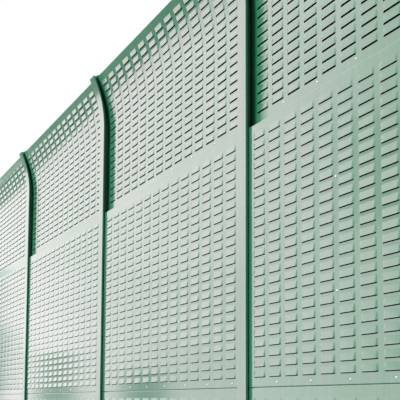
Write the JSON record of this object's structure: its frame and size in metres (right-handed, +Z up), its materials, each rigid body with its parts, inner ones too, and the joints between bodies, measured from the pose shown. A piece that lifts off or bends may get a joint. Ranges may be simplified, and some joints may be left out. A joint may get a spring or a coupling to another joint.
{
  "type": "noise barrier section",
  "caption": "Free-standing row of noise barrier bays: louvred steel panels held between H-section posts whose tops bend forward, on bolted base plates.",
  "frame": {"origin": "centre of the underside of the middle post's base plate", "axes": "+X along the barrier, to the right seen from the louvred front; -Y is the louvred front; +Z up"},
  "size_m": [10.26, 0.26, 3.4771],
  "materials": {
    "post_paint": "gloss green paint",
    "base_paint": "gloss green paint",
    "panel_paint": "gloss green powder coat",
    "back_paint": "gloss green powder coat",
    "absorber": "black facing fleece over mineral wool"
  },
  "bodies": {
    "root": {"post_1": "post_paint", "base_plate_1": "base_paint", "post_2": "post_paint", "base_plate_2": "base_paint", "post_3": "post_paint", "base_plate_3": "base_paint", "post_4": "post_paint", "base_plate_4": "base_paint", "post_5": "post_paint", "base_plate_5": "base_paint", "bay_1_plinth": "panel_paint", "bay_1_lower_front": "panel_paint", "bay_1_lower_back": "back_paint", "bay_1_middle_front": "panel_paint", "bay_1_middle_back": "back_paint", "bay_1_upper_front": "panel_paint", "bay_1_upper_back": "back_paint", "bay_1_absorber": "absorber", "bay_2_plinth": "panel_paint", "bay_2_lower_front": "panel_paint", "bay_2_lower_back": "back_paint", "bay_2_middle_front": "panel_paint", "bay_2_middle_back": "back_paint", "bay_2_upper_front": "panel_paint", "bay_2_upper_back": "back_paint", "bay_2_absorber": "absorber", "bay_3_plinth": "panel_paint", "bay_3_lower_front": "panel_paint", "bay_3_lower_back": "back_paint", "bay_3_middle_front": "panel_paint", "bay_3_middle_back": "back_paint", "bay_3_upper_front": "panel_paint", "bay_3_upper_back": "back_paint", "bay_3_absorber": "absorber", "bay_4_plinth": "panel_paint", "bay_4_lower_front": "panel_paint", "bay_4_lower_back": "back_paint", "bay_4_middle_front": "panel_paint", "bay_4_middle_back": "back_paint", "bay_4_upper_front": "panel_paint", "bay_4_upper_back": "back_paint", "bay_4_absorber": "absorber"}
  },
  "joints": []
}
